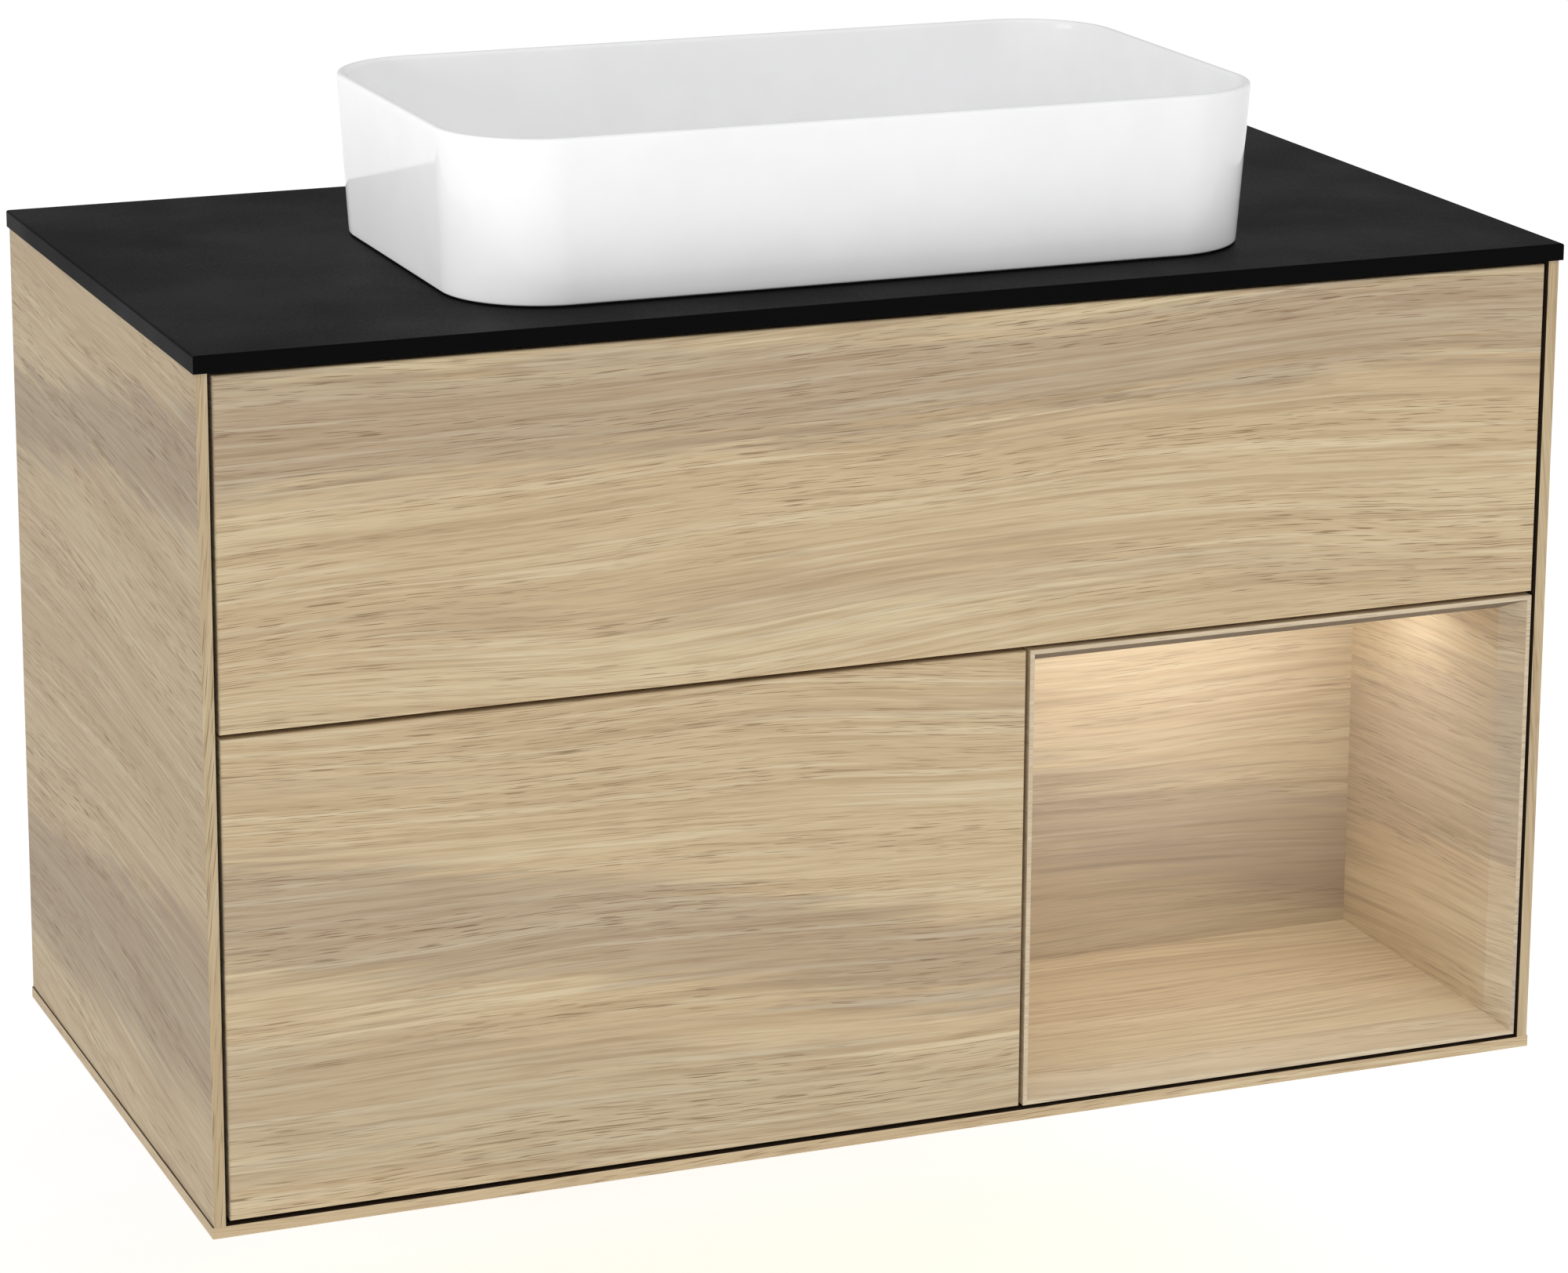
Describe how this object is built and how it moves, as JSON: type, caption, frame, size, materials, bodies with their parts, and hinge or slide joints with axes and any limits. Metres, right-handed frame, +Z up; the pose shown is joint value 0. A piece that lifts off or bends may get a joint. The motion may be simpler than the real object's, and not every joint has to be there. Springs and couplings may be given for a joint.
{
  "type": "vessel sink on vanity",
  "caption": "Wall-hung vanity with a rectangular vessel basin on a thin worktop, a wide upper drawer, a deep lower drawer and a lit open niche.",
  "frame": {"origin": "on the wall plane, at the centre of the rectangle of four wall-fixing holes in the two wall plates", "axes": "+Z up, +X to the right as seen from the front, +Y into the wall; the fronts face -Y"},
  "size_m": [1, 0.501, 0.718],
  "materials": {
    "oak_veneer": "matt lacquered light oak veneer, grain left to right",
    "worktop_black": "matt black board",
    "carcass_board": "dark melamine",
    "drawer_board": "anthracite melamine",
    "sanitary_ceramic": "glossy white glaze",
    "silicone": "dark sanitary silicone",
    "rubber": "black rubber",
    "chrome": "polished",
    "brass_nut": "turned",
    "trap_plastic": "white",
    "runner_steel": "zinc plated",
    "screw_steel": "zinc plated",
    "hanger_steel": "zinc plated",
    "release_plastic": "moulded dark grey",
    "siphon_plastic": "moulded anthracite",
    "led_aluminium": "anodised",
    "led_opal": "opal diffuser",
    "driver_plastic": "white housing"
  },
  "bodies": {
    "cabinet": {"side_panel_left": "oak_veneer", "side_panel_right": "oak_veneer", "bottom_panel": "oak_veneer", "niche_trim_bottom": "oak_veneer", "niche_trim_top": "oak_veneer", "niche_trim_left": "oak_veneer", "niche_trim_right": "oak_veneer", "niche_side_left": "oak_veneer", "niche_side_right": "oak_veneer", "niche_floor": "oak_veneer", "niche_back": "oak_veneer", "niche_top": "oak_veneer", "worktop": "worktop_black", "mid_panel": "carcass_board", "divider_panel": "carcass_board", "front_top_rail": "carcass_board", "back_panel": "carcass_board", "rear_top_rail": "carcass_board", "basin": "sanitary_ceramic", "basin_seal": "silicone", "drain_gaskets": "rubber", "drain_body": "chrome", "drain_backnut": "brass_nut", "trap_inlet_nut": "trap_plastic", "trap_inlet_tube": "trap_plastic", "trap_bottle": "trap_plastic", "trap_cup": "trap_plastic", "trap_outlet_pipe": "trap_plastic", "trap_outlet_nut": "trap_plastic", "upper_cabinet_rails": "runner_steel", "lower_cabinet_rails": "runner_steel", "wall_plates": "runner_steel", "worktop_brackets": "runner_steel", "runner_screws": "screw_steel", "cabinet_hangers": "hanger_steel", "release_units": "release_plastic", "led_profile": "led_aluminium", "led_diffuser": "led_opal", "led_driver": "driver_plastic"},
    "upper_drawer": {"upper_front": "oak_veneer", "upper_drawer_side_left": "drawer_board", "upper_drawer_side_right": "drawer_board", "upper_drawer_backs": "drawer_board", "upper_drawer_bottom": "drawer_board", "siphon_surround": "siphon_plastic", "upper_front_brackets": "runner_steel", "upper_drawer_rails": "runner_steel"},
    "lower_drawer": {"lower_front": "oak_veneer", "lower_drawer_side_left": "drawer_board", "lower_drawer_side_right": "drawer_board", "lower_drawer_back": "drawer_board", "lower_drawer_bottom": "drawer_board", "lower_front_brackets": "runner_steel", "lower_drawer_rails": "runner_steel"},
    "upper_middles": {"upper_middle_rails": "runner_steel"},
    "lower_middles": {"lower_middle_rails": "runner_steel"},
    "waste_plug": {"drain_plug": "chrome"}
  },
  "joints": [
    {"name": "upper_drawer_slide", "type": "slide", "parent": "cabinet", "child": "upper_drawer", "axis": [0, -1, 0], "range_m": [-0.0025, 0.4]},
    {"name": "upper_middles_slide", "type": "slide", "parent": "cabinet", "child": "upper_middles", "axis": [0, -1, 0], "range_m": [-0.00125, 0.2]},
    {"name": "lower_drawer_slide", "type": "slide", "parent": "cabinet", "child": "lower_drawer", "axis": [0, -1, 0], "range_m": [-0.0025, 0.4]},
    {"name": "lower_middles_slide", "type": "slide", "parent": "cabinet", "child": "lower_middles", "axis": [0, -1, 0], "range_m": [-0.00125, 0.2]},
    {"name": "plug_press", "type": "slide", "parent": "cabinet", "child": "waste_plug", "axis": [0, 0, -1], "range_m": [0, 0.0075]}
  ],
  "couplings": [
    {"joint": "upper_middles_slide", "follows": "upper_drawer_slide", "ratio": 0.5},
    {"joint": "lower_middles_slide", "follows": "lower_drawer_slide", "ratio": 0.5}
  ]
}
